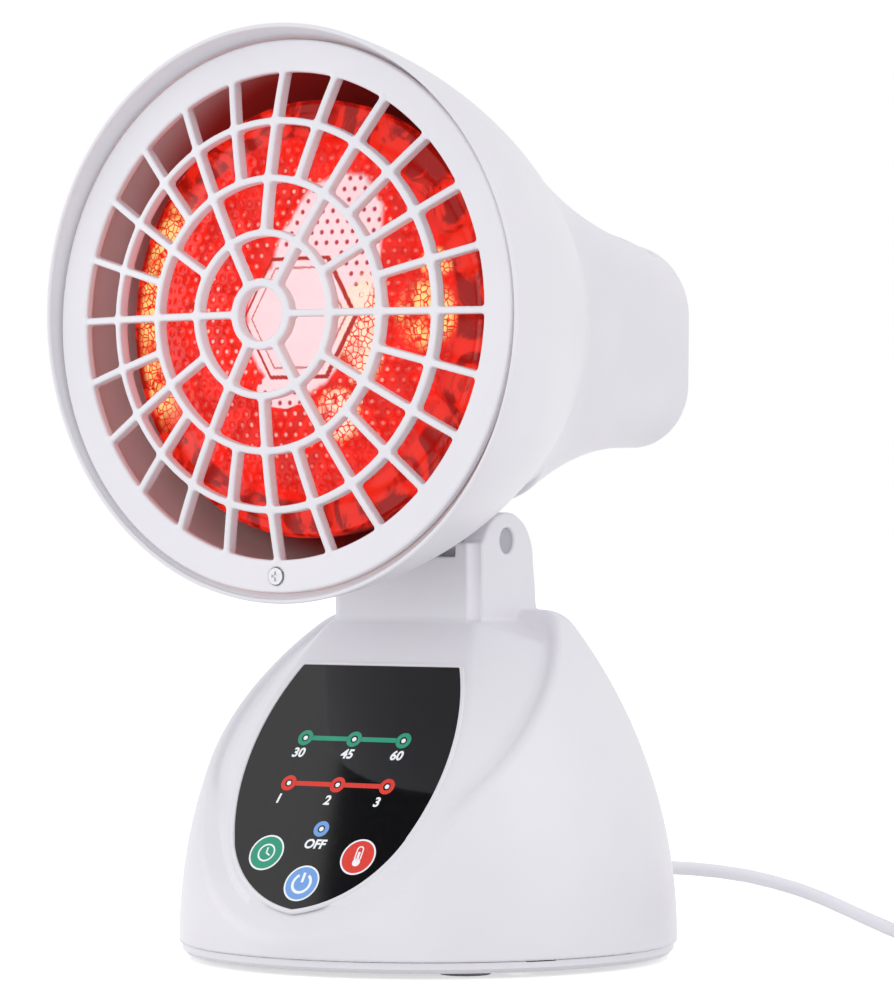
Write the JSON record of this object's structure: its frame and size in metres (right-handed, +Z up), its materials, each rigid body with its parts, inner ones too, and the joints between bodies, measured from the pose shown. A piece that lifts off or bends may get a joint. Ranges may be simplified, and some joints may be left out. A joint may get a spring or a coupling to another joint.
{
  "type": "infrared heat therapy lamp",
  "caption": "Table infrared therapy lamp: domed base with a slanted touch panel, tilting bell-shaped head with a round grille over a red reflector bulb, and a mains lead.",
  "frame": {"origin": "centre of the base's footprint on the floor", "axes": "+Z up; the lamp faces -Y; +X is the lamp's left as it faces, the side the picture is taken from"},
  "size_m": [0.2463, 0.2611, 0.2624],
  "materials": {
    "shell": "satin moulded white",
    "trim": "satin moulded white",
    "caps": "satin light grey",
    "foot_rubber": "matte, light grey",
    "fastener_steel": "zinc-plated",
    "ballast_iron": "bare",
    "panel_black": "high gloss",
    "print_green": "printed under gloss",
    "print_red": "printed under gloss",
    "print_blue": "printed under gloss",
    "light_pipe": "clear",
    "circuit_board": "solder resist",
    "dark_plastic": "moulded",
    "component_plastic": "dipped",
    "green_plastic": "moulded",
    "fuse_glass": "clear with nickel ends",
    "spacer_nylon": "moulded",
    "spring_brass": "plain",
    "sink_aluminium": "extruded",
    "washer_fibre": "matte",
    "red_glass": "red, stippled inside",
    "red_reflector": "red, silvered inside",
    "filament_metal": "glowing",
    "socket_ceramic": "unglazed",
    "wire_skin": "glass-fibre sleeve",
    "cord_vinyl": "smooth vinyl",
    "tie_plastic": "plain"
  },
  "bodies": {
    "base": {"base_shell": "shell", "base_plate": "shell", "rubber_feet": "foot_rubber", "plate_screws": "fastener_steel", "ballast_plate": "ballast_iron", "ballast_screws": "fastener_steel", "control_panel": "panel_black", "timer_pad": "print_green", "heat_pad": "print_red", "power_pad": "print_blue", "timer_lights": "light_pipe", "heat_lights": "light_pipe", "power_light": "light_pipe", "control_board": "circuit_board", "touch_springs": "spring_brass", "control_screws": "fastener_steel", "power_board": "circuit_board", "board_spacers": "spacer_nylon", "board_screws": "fastener_steel", "heat_sink": "sink_aluminium", "triac": "dark_plastic", "supply_capacitor": "component_plastic", "mains_fuse": "fuse_glass", "relay": "dark_plastic", "terminal_block": "green_plastic", "strain_relief": "trim", "hinge_bolt": "fastener_steel", "hinge_nut": "fastener_steel", "hinge_caps": "caps", "friction_washers": "washer_fibre", "power_cord": "cord_vinyl", "cord_coil": "cord_vinyl", "cord_tie": "tie_plastic", "plug_lead": "cord_vinyl", "plug_body": "cord_vinyl", "plug_blades": "spring_brass"},
    "head": {"bell_shell": "shell", "rear_housing": "shell", "housing_screws": "fastener_steel", "front_grille": "trim", "grille_screw": "fastener_steel", "bulb_lens": "red_glass", "bulb_reflector": "red_reflector", "bulb_cap": "spring_brass", "bulb_filament": "filament_metal", "lamp_socket": "socket_ceramic", "socket_sleeve": "spring_brass", "socket_contact": "spring_brass", "socket_bracket": "fastener_steel", "bracket_screws": "fastener_steel", "socket_screws": "fastener_steel", "thermal_cutout": "dark_plastic", "head_wires": "wire_skin"}
  },
  "joints": [
    {"name": "head_tilt", "type": "hinge", "parent": "base", "child": "head", "pos_m": [0, 0.0026, 0.12], "axis": [-1, 0, 0], "range_deg": [-8, 40]}
  ]
}
